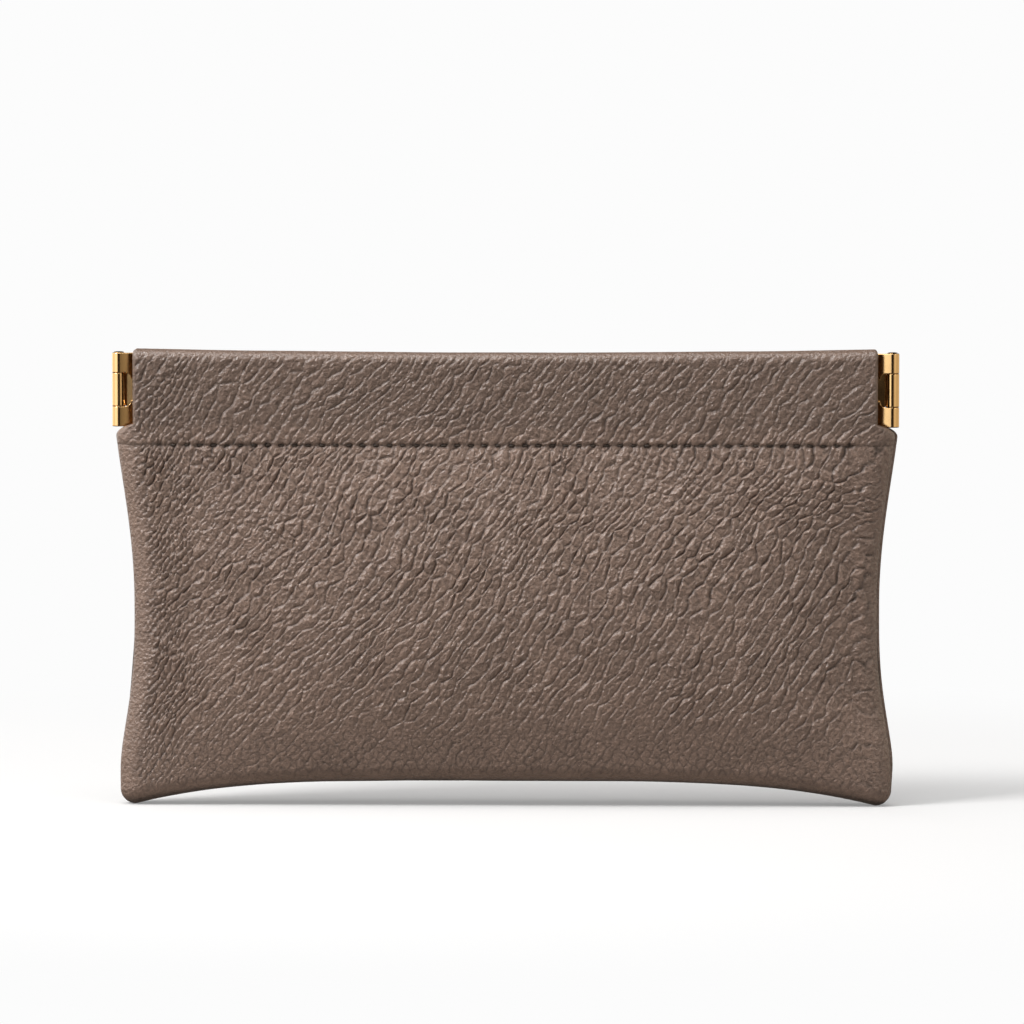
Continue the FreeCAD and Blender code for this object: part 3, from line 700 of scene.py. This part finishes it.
def make_lining(shape, face, end, material):
    """Half of a lining: a thin cloth that follows the inside of its panel up to the casing seam."""
    rows, _, surface, _ = side_grid(shape, face)
    side = FACES[face]
    skin = surface * np.array([1.0, side, 1.0])
    outward = grid_normals(skin) * -side
    middle = skin.shape[1] // 2
    across = slice(middle, -LINING_TRIM) if end == "right" else slice(LINING_TRIM, middle + 1)
    up = slice(ALLOWANCE_ROWS + ROLL_ROWS, rows["seam_row"] - INNER_STEP)
    coarse = slice(None, None, LINING_STEP), slice(None, None, INNER_STEP)
    place, away = skin[up, across][coarse], outward[up, across][coarse]
    outer = place - away * (shape.leather + LINING_GAP)
    inner = outer - away * LINING
    piece = new_piece(
        f"{face}_lining_{end}",
        stacked(outer, inner),
        shell_faces(outer.shape[0], outer.shape[1], 1, side > 0),
        material,
        stacked(away, -away),
    )
    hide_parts(f"{face}_lining")
    bend_with_mouth(piece)


# Metal of the spring frame
def strip(path, half, low, high, edge):
    """A rolled metal strip: a path in plan as points and left-hand normals, a thickness and a height.

    The section runs down the path at +half and back at -half. It is stacked from low to high with its edges
    rounded in a quarter circle of steps, and both ends are capped.
    """
    points, normals = path
    turn = np.linspace(0, math.pi / 2, 4)
    inset = edge * np.append(1 - np.sin(turn), 0)
    inset = np.concatenate([inset, inset[::-1]])
    rise = edge * np.append(1 - np.cos(turn), 1.4)[:, None]
    low, high = np.broadcast_to(low, len(points)), np.broadcast_to(high, len(points))
    level = np.concatenate([low + rise, (high - rise)[::-1]])
    reach = (half - inset)[:, None, None]
    outer = points[None] + normals[None] * reach
    inner = (points[None] - normals[None] * reach)[:, ::-1]
    loop = np.concatenate([outer, inner], axis=1)
    count = loop.shape[1]
    solid = np.dstack([loop, np.concatenate([level, level[:, ::-1]], axis=1)])
    index = np.arange(len(level) * count).reshape(len(level), count)
    after = np.roll(index, -1, axis=1)
    faces = np.stack([index[:-1], index[1:], after[1:], after[:-1]], axis=-1).reshape(-1, 4).tolist()
    foot, top = index[0].tolist(), index[-1].tolist()
    for i in range(len(points) - 1):
        j = count - 1 - i
        faces.append([foot[i], foot[i + 1], foot[j - 1], foot[j]])
        faces.append([top[j], top[j - 1], top[i + 1], top[i]])
    return solid.reshape(-1, 3), faces


def joined(solids):
    """Several closed solids as one list of points and one of faces."""
    points, faces, start = [], [], 0
    for some, corners in solids:
        points.append(some)
        faces += [[c + start for c in corner] for corner in corners]
        start += len(some)
    return np.concatenate(points), faces


def knuckle_path(hardware, end, face):
    """In plan, a tab that steps in from the tongue, slopes out and rolls nearly all the way round the pin.

    The slope meets the roll as a tangent, so its direction is also where the roll begins.
    """
    middle = BARREL_RADIUS - hardware.leaf / 2
    slope = hardware.tab_slope if face == FRONT else 0.3 * hardware.tab_slope
    turn = np.linspace(slope - math.pi / 2, KNUCKLE_END, KNUCKLE_STEPS)
    spoke = np.stack([np.cos(turn), np.sin(turn)], axis=-1)
    roll = np.array([PIN_X, 0.0]) + middle * spoke
    fillet = hardware.window_round * (1 - np.cos(np.linspace(0, math.pi / 2, 9)))
    slope_x = PIN_X - np.append(WINDOW_REACH + np.array([0.6, 0.3]) * MM, WINDOW_REACH - fillet)
    slope_y = roll[0, 1] + (slope_x - roll[0, 0]) * math.tan(slope)
    step = np.linspace(0, 1, 9)[:-1]
    step_x = PIN_X - TAB_START + (slope_x[0] - PIN_X + TAB_START) * step
    step_y = -middle + (slope_y[0] + middle) * smooth(step)
    tab = np.stack([np.append(step_x, slope_x), np.append(step_y, slope_y)], axis=-1)
    along = np.gradient(tab, axis=0)
    along = along / np.linalg.norm(along, axis=-1, keepdims=True)
    normals = np.concatenate([np.stack([along[:, 1], -along[:, 0]], axis=-1), spoke])
    flip = np.array([ENDS[end], -FACES[face]])
    return np.concatenate([tab, roll]) * flip, normals * flip


def make_leaf(hardware, face, end, material):
    """A hinge leaf: knuckles rolled from tabs with rounded inner corners, and a tongue inside the casing."""
    node = f"{face}_{end}_leaf"
    low, high = node_box(node)
    centre = (HINGE_LOW + HINGE_HIGH) / 2
    inner = hardware.middle_knuckle / 2
    outer = inner + KNUCKLE_GAP
    path = knuckle_path(hardware, end, face)
    corner = np.clip(1 - (np.abs(path[0][:, 0]) - PIN_X + WINDOW_REACH) / hardware.window_round, 0, 1)
    flare = hardware.window_round * (1 - np.sqrt(1 - corner**2))
    tongue_y = FACES[face] * (BARREL_RADIUS - hardware.leaf / 2)
    reach = float(low[0] if ENDS[end] > 0 else -high[0])
    tongue_x = ENDS[end] * np.array([reach, reach + 0.2 * MM, PIN_X - 4.2 * MM, PIN_X - 3.9 * MM])
    tongue = np.stack([tongue_x, np.full(4, tongue_y)], axis=-1), np.tile([0.0, FACES[face]], (4, 1))
    bands = [(tongue, HINGE_LOW + TONGUE_INSET, HINGE_HIGH - TONGUE_INSET)]
    if face == FRONT:
        bands += [(path, HINGE_LOW, centre - outer + flare), (path, centre + outer - flare, HINGE_HIGH)]
    else:
        bands += [(path, centre - inner - flare, centre + inner + flare)]
    half, edge = hardware.leaf / 2, hardware.edge_round
    points, faces = joined([strip(line, half, foot, top, edge) for line, foot, top in bands])
    if ENDS[end] * FACES[face] > 0:
        faces = [corners[::-1] for corners in faces]
    piece = new_piece(f"{node}_rolled", points, faces, material)
    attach(piece, f"{face}_{end}_hinge")
    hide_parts(node)


def make_pin(end, material):
    """A turned hinge pin with a low dome at each end, revolved about its own line."""
    node = f"{end}_pin"
    low, high = node_box(node)
    centre, half = (low + high) / 2, float(high[2] - low[2]) / 2
    head = float(high[0] - low[0]) / 2
    shank = head - PIN_OVERLAP
    curve = np.linspace(0, math.pi / 2, 7)
    top_r = head * np.sin(curve)
    top_z = half - PIN_HEAD + PIN_DOME * np.cos(curve)
    radius = np.concatenate([np.maximum(top_r, 1e-6), [shank, shank], np.maximum(top_r, 1e-6)[::-1]])
    shank_end = half - PIN_HEAD - 0.01 * MM
    height = np.concatenate([top_z, [shank_end, -shank_end], -top_z[::-1]])
    turn = np.linspace(0, 2 * math.pi, PIN_SIDES, endpoint=False)
    points = np.stack([
        centre[0] + radius[:, None] * np.cos(turn),
        centre[1] + radius[:, None] * np.sin(turn),
        centre[2] + height[:, None] + 0 * turn,
    ], axis=-1)
    index = np.arange(len(radius) * PIN_SIDES).reshape(-1, PIN_SIDES)
    after = np.roll(index, -1, axis=1)
    faces = np.stack([index[:-1], index[1:], after[1:], after[:-1]], axis=-1).reshape(-1, 4).tolist()
    faces += [index[0].tolist(), index[-1, ::-1].tolist()]
    piece = new_piece(f"{node}_turned", points, faces, material)
    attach(piece, "pouch_core")
    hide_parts(node)


def make_blade(face, end, material):
    """Half of a spring blade: a flat strip with rounded edges."""
    low, high = node_box(f"{face}_blade")
    x = ENDS[end] * np.linspace(0, float(high[0]), BLADE_STEPS)
    y = float(low[1] + high[1]) / 2 + FACES[face] * BLADE_CLEARANCE
    path = np.stack([x, np.full(BLADE_STEPS, y)], axis=-1), np.tile([0.0, ENDS[end]], (BLADE_STEPS, 1))
    half = float(high[1] - low[1]) / 2
    points, faces = strip(path, half, float(low[2]), float(high[2]), half * 0.6)
    piece = new_piece(f"{face}_blade_{end}", points, faces, material)
    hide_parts(f"{face}_blade")
    bend_with_mouth(piece)


# Materials: widths of their patterns, and the scale that gives a wave texture one band per unit
PORE = 0.55 * MM
HIDE_CLOUD = 18 * MM
POLISH_CLOUD = 3 * MM
THREAD_TWIST = 0.5 * MM
YARN = 0.55 * MM
DRAW_LINES = 25
WAVE_BAND = 0.314


def linear(colour):
    """Linear RGBA of an sRGB hex colour."""
    parts = [int(colour[i:i + 2], 16) / 255 for i in (1, 3, 5)]
    return [c / 12.92 if c <= 0.04045 else ((c + 0.055) / 1.055) ** 2.4 for c in parts] + [1.0]


def feed(tree, node, values):
    """Gives each named socket a value, or links it to another node's output."""
    for socket, value in values.items():
        if isinstance(value, bpy.types.NodeSocket):
            tree.links.new(value, node.inputs[socket])
        else:
            node.inputs[socket].default_value = value


def add(tree, kind, values=None, **settings):
    """Adds one shader node: settings are its properties, values its sockets."""
    made = tree.nodes.new(kind)
    for name, value in settings.items():
        setattr(made, name, value)
    feed(tree, made, values or {})
    return made


def new_material(name):
    """A new material, its node tree and its shader."""
    material = bpy.data.materials.new(name)
    material.use_nodes = True
    tree = material.node_tree
    return material, tree, tree.nodes["Principled BSDF"]


def speckle(tree, place, grain):
    """Noise with bumps about as wide as the given length."""
    values = {"Vector": place, "Scale": 1 / grain, "Detail": 2.0}
    return add(tree, "ShaderNodeTexNoise", values).outputs["Fac"]


def blend_colours(tree, share, first, second):
    """The first colour at a share of 0 and the second at 1."""
    return add(tree, "ShaderNodeMix", {0: share, 6: first, 7: second}, data_type="RGBA").outputs[2]


def mapped(tree, value, low, high, start=0.0, end=1.0, **settings):
    """The range from low to high carried to the range from start to end."""
    values = {0: value, 1: low, 2: high, 3: start, 4: end}
    return add(tree, "ShaderNodeMapRange", values, **settings).outputs[0]


def product(tree, first, second):
    """Two numbers multiplied."""
    return add(tree, "ShaderNodeMath", {0: first, 1: second}, operation="MULTIPLY").outputs[0]


def scaled(tree, colour, share):
    """A colour made lighter or darker."""
    return add(tree, "ShaderNodeVectorMath", {0: colour, "Scale": share}, operation="SCALE").outputs[0]


def bumped(tree, height, strength, distance):
    """A normal with fine relief for the light only."""
    values = {"Height": height, "Strength": strength, "Distance": distance}
    return add(tree, "ShaderNodeBump", values).outputs[0]


def pebbled_leather(finish):
    """Milled, pigment-finished cowhide: soft sheen on the pebbles and duller grooves, darkened with painted
    shade.

    The shade also changes with each cell's tone, which carries painted shade on the casing, with fine pores
    and slowly over the hide.
    """
    material, tree, shader = new_material("pebbled_cowhide")
    level = add(tree, "ShaderNodeAttribute", attribute_name="level").outputs["Fac"]
    tone = add(tree, "ShaderNodeAttribute", attribute_name="tone").outputs["Fac"]
    place = add(tree, "ShaderNodeTexCoord").outputs["Object"]
    pores = speckle(tree, place, PORE)
    clouds = speckle(tree, place, HIDE_CLOUD)
    # Painted shade: the groove colour is blended in where the level is low
    ground = blend_colours(tree, level, linear(finish.groove_shade_colour), linear(finish.colour))
    # Painted shade: the tone is lowered on the casing, so this darkens it
    shade = mapped(tree, tone, -1.0, 1.0, 0.79, 1.07)
    shade = product(tree, shade, mapped(tree, pores, 0.3, 0.7, 0.84, 1.16))
    shade = product(tree, shade, mapped(tree, clouds, 0.3, 0.7, 0.95, 1.05))
    feed(tree, shader, {
        "Base Color": scaled(tree, ground, shade),
        "Roughness": mapped(tree, level, 0.0, 1.0, 0.62, 0.36),
        "Specular IOR Level": 0.6,
        "Normal": bumped(tree, pores, 1.0, 0.3 * MM),
    })
    return material


def sewing_thread(finish):
    """Bonded polyester thread, coloured dark, with the light and dark of its twist."""
    material, tree, shader = new_material("bonded_thread")
    place = add(tree, "ShaderNodeTexCoord").outputs["Object"]
    wave = {"Vector": place, "Scale": WAVE_BAND / THREAD_TWIST, "Distortion": 1.0}
    twist = add(tree, "ShaderNodeTexWave", wave, bands_direction="DIAGONAL").outputs["Fac"]
    shade = mapped(tree, twist, 0.0, 1.0, 0.75, 1.1)
    tinted = scaled(tree, linear(finish.thread_colour)[:3], shade)
    feed(tree, shader, {"Base Color": tinted, "Roughness": 0.55})
    return material


def woven_lining(finish):
    """Fine twill lining: crossing yarns about half a millimetre apart, drawn coarser than life to show."""
    material, tree, shader = new_material("lining_twill")
    place = add(tree, "ShaderNodeTexCoord").outputs["Object"]
    yarn = {"Vector": place, "Scale": WAVE_BAND / YARN, "Distortion": 0.6}
    warp = add(tree, "ShaderNodeTexWave", yarn, bands_direction="X").outputs["Fac"]
    weft = add(tree, "ShaderNodeTexWave", yarn, bands_direction="Z").outputs["Fac"]
    cloth = product(tree, warp, weft)
    shade = mapped(tree, cloth, 0.0, 1.0, 0.6, 1.1)
    feed(tree, shader, {
        "Base Color": scaled(tree, linear(finish.lining_colour)[:3], shade),
        "Roughness": 0.8,
        "Sheen Weight": 0.2,
        "Normal": bumped(tree, cloth, 0.5, 0.1 * MM),
    })
    return material


def bare_metal(name, colour, roughness, grain_length):
    """Worked metal: a clear reflection, slightly uneven polish and faint draw lines along its length."""
    material, tree, shader = new_material(name)
    place = add(tree, "ShaderNodeTexCoord").outputs["Object"]
    scale = (1 / grain_length, DRAW_LINES / grain_length, DRAW_LINES / grain_length)
    drawn = add(tree, "ShaderNodeMapping", {"Vector": place, "Scale": scale}).outputs[0]
    lines = speckle(tree, drawn, 1.0)
    cloud = speckle(tree, place, POLISH_CLOUD)
    feed(tree, shader, {
        "Base Color": linear(colour),
        "Metallic": 1.0,
        "Roughness": mapped(tree, cloud, 0.3, 0.7, roughness * 0.8, roughness * 1.25),
        "Normal": bumped(tree, lines, 0.15, 0.01 * MM),
    })
    return material


# Operators
class PURSE_OT_leather_sides(bpy.types.Operator):
    """Makes the two leather sides with their casings"""

    bl_idname = "purse.leather_sides"
    bl_label = "Leather sides"

    def execute(self, context):
        scene = context.scene
        material = pebbled_leather(scene.purse_leather)
        for face in FACES:
            make_leather(scene.purse_shape, scene.purse_leather, face, material)
        return {"FINISHED"}


class PURSE_OT_sewing(bpy.types.Operator):
    """Makes the casing stitches, the side seam thread's finish and the linings"""

    bl_idname = "purse.sewing"
    bl_label = "Stitches and lining"

    def execute(self, context):
        scene = context.scene
        thread = sewing_thread(scene.purse_leather)
        cloth = woven_lining(scene.purse_leather)
        for face in FACES:
            for end in ENDS:
                make_stitches(scene.purse_shape, face, end, thread)
                make_lining(scene.purse_shape, face, end, cloth)
        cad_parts["seam_thread"].data.materials.clear()
        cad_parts["seam_thread"].data.materials.append(thread)
        return {"FINISHED"}


class PURSE_OT_spring_frame(bpy.types.Operator):
    """Makes the spring blades, the hinge leaves and the pins, and finishes the rivets"""

    bl_idname = "purse.spring_frame"
    bl_label = "Spring frame"

    def execute(self, context):
        hardware = context.scene.purse_hardware
        gold = bare_metal("gold_plated_brass", hardware.plating_colour, 0.16, 2 * MM)
        steel = bare_metal("spring_steel", hardware.steel_colour, 0.28, 20 * MM)
        for end in ENDS:
            make_pin(end, gold)
            for face in FACES:
                make_leaf(hardware, face, end, gold)
                make_blade(face, end, steel)
        for name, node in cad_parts.items():
            if "rivet" in name:
                node.data.materials.clear()
                node.data.materials.append(gold)
        return {"FINISHED"}


class PURSE_OT_stage(bpy.types.Operator):
    """Sets up floor, light and camera"""

    bl_idname = "purse.stage"
    bl_label = "Stage"

    def execute(self, context):
        scene = context.scene
        stage = scene.purse_stage
        scene.view_settings.view_transform = "Standard"
        make_floor()
        make_lights(scene)
        aim = Vector((stage.aim_x, 0, stage.aim_z))
        level, rise = math.cos(stage.elevation), math.sin(stage.elevation)
        away = Vector((math.sin(stage.azimuth) * level, -math.cos(stage.azimuth) * level, rise))
        camera = bpy.data.cameras.new("camera")
        camera.sensor_width = 36.0
        camera.lens = camera.sensor_width * stage.distance / stage.view_width
        holder = bpy.data.objects.new("camera", camera)
        holder.location = aim + away * stage.distance
        holder.rotation_euler = (-away).to_track_quat("-Z", "Y").to_euler()
        scene.collection.objects.link(holder)
        scene.camera = holder
        return {"FINISHED"}


# Stage: sizes of the paper sweep and distances from the purse, in metres
SWEEP_HALF, SWEEP_FRONT, SWEEP_BEND, SWEEP_BACK = 2.0, -2.5, 1.2, 2.2
SHADOW_NEAR, SHADOW_FAR = 0.075, 0.2
BOXES_NEAR, BOXES_FAR = 0.3, 0.6
BOX_STRENGTH = 1.7
LIGHT_AIM = Vector((0, 0, 0.03))
PAPER, PAPER_BOUNCE, PAPER_WHITE, PAINTED_REFLECTION_GREY = "#e2e1e0", "#b6b3af", "#fcfcfc", "#66635f"
SURROUND = "#757575"


def light_boxes(tree, across):
    """What polished metal sees round it, from left to right: a bright box, a dark front and a dimmer box."""
    ramp = add(tree, "ShaderNodeValToRGB", {0: mapped(tree, across, -1.0, 1.0)})
    bands = ((0.0, "#d8d4cc"), (0.05, "#ffffff"), (0.27, "#ffffff"), (0.36, "#1c1714"), (0.65, "#1c1714"),
             (0.72, "#8c8478"), (0.82, "#c8c0b0"), (1.0, "#a8a090"))
    while len(ramp.color_ramp.elements) < len(bands):
        ramp.color_ramp.elements.new(0.5)
    for element, (place, colour) in zip(ramp.color_ramp.elements, bands):
        element.position = place
        element.color = linear(colour)
    return scaled(tree, ramp.outputs[0], BOX_STRENGTH)


def make_floor():
    """A wide pale sweep: flat under the purse and curving up behind it, pure white away from the purse.

    Glossy rays see a painted reflection instead of the lit paper: a glowing dark grey near the purse and the
    light boxes further off.
    """
    across = np.linspace(-SWEEP_HALF, SWEEP_HALF, 3)
    run = np.concatenate([[SWEEP_FRONT], np.linspace(SWEEP_BEND, SWEEP_BACK, 24)])
    bend = np.clip((run - SWEEP_BEND) / (SWEEP_BACK - SWEEP_BEND), 0, 1)
    points = np.zeros((len(run), 3, 3))
    points[..., 0] = across[None, :]
    points[..., 1] = run[:, None]
    points[..., 2] = (1 - np.sqrt(1 - bend**2))[:, None]
    material, tree, shader = new_material("pale_paper")
    ray = add(tree, "ShaderNodeLightPath")
    paper = blend_colours(tree, ray.outputs["Is Diffuse Ray"], linear(PAPER), linear(PAPER_BOUNCE))
    feed(tree, shader, {"Base Color": paper, "Roughness": 0.9, "Specular IOR Level": 0.2})
    place = add(tree, "ShaderNodeTexCoord").outputs["Object"]
    away = add(tree, "ShaderNodeVectorMath", {0: place}, operation="LENGTH").outputs["Value"]
    white = mapped(tree, away, SHADOW_NEAR, SHADOW_FAR, 0.25, 1.0, interpolation_type="SMOOTHSTEP")
    share = product(tree, ray.outputs["Is Camera Ray"], white)
    glow = add(tree, "ShaderNodeEmission", {"Color": linear(PAPER_WHITE), "Strength": 1.0}).outputs[0]
    mixed = add(tree, "ShaderNodeMixShader", {0: share, 1: shader.outputs[0], 2: glow}).outputs[0]
    way = add(tree, "ShaderNodeVectorMath", {0: place}, operation="NORMALIZE").outputs[0]
    across = add(tree, "ShaderNodeSeparateXYZ", {0: way}).outputs["X"]
    far = mapped(tree, away, BOXES_NEAR, BOXES_FAR)
    # Painted reflection: glossy rays see a glowing dark grey near the purse, not the pale paper
    seen = blend_colours(tree, far, linear(PAINTED_REFLECTION_GREY), light_boxes(tree, across))
    seen = add(tree, "ShaderNodeEmission", {"Color": seen, "Strength": 1.0}).outputs[0]
    mixed = add(tree, "ShaderNodeMixShader", {0: ray.outputs["Is Glossy Ray"], 1: mixed, 2: seen}).outputs[0]
    tree.links.new(mixed, tree.nodes["Material Output"].inputs["Surface"])
    floor = new_piece("floor", points, grid_faces(len(run), 3).tolist(), material)


def make_lights(scene):
    """A soft key from the upper left, a box overhead, a weak fill from the right and an even surround."""
    for name, place, width, power in (
        ("key", (-0.7, -0.42, 0.85), 0.36, 11.6),
        ("overhead", (-0.1, -0.1, 1.0), 0.6, 6.2),
        ("fill", (0.9, -0.7, 0.5), 0.6, 1.8),
    ):
        lamp = bpy.data.lights.new(name, "AREA")
        lamp.size = width
        lamp.energy = power
        holder = bpy.data.objects.new(name, lamp)
        holder.location = place
        holder.rotation_euler = (LIGHT_AIM - Vector(place)).to_track_quat("-Z", "Y").to_euler()
        scene.collection.objects.link(holder)
    world = bpy.data.worlds.new("surround")
    scene.world = world
    world.use_nodes = True
    tree = world.node_tree
    way = add(tree, "ShaderNodeTexCoord").outputs["Generated"]
    across = add(tree, "ShaderNodeSeparateXYZ", {0: way}).outputs["X"]
    glossy = add(tree, "ShaderNodeLightPath").outputs["Is Glossy Ray"]
    even = blend_colours(tree, glossy, linear(SURROUND), light_boxes(tree, across))
    tree.links.new(even, tree.nodes["Background"].inputs["Color"])


class PURSE_PT_panel(bpy.types.Panel):
    """Lists the pieces of the purse"""

    bl_idname = "PURSE_PT_panel"
    bl_label = "Squeeze Purse"
    bl_space_type = "VIEW_3D"
    bl_region_type = "UI"
    bl_category = "Purse"

    def draw(self, context):
        for operator in OPERATORS:
            self.layout.operator(operator.bl_idname)


GROUPS = {
    "purse_shape": PouchShape,
    "purse_leather": LeatherFinish,
    "purse_hardware": HardwareFinish,
    "purse_stage": StageSettings,
}
OPERATORS = [
    PURSE_OT_leather_sides,
    PURSE_OT_sewing,
    PURSE_OT_spring_frame,
    PURSE_OT_stage,
]


def register():
    for group in [*GROUPS.values(), *OPERATORS, PURSE_PT_panel]:
        bpy.utils.register_class(group)
    for name, group in GROUPS.items():
        setattr(bpy.types.Scene, name, PointerProperty(type=group))


def unregister():
    for name in GROUPS:
        delattr(bpy.types.Scene, name)
    for group in reversed([*GROUPS.values(), *OPERATORS, PURSE_PT_panel]):
        bpy.utils.unregister_class(group)


def main():
    register()
    bpy.ops.purse.leather_sides()
    bpy.ops.purse.sewing()
    bpy.ops.purse.spring_frame()
    bpy.ops.purse.stage()


if __name__ == "__main__":
    main()
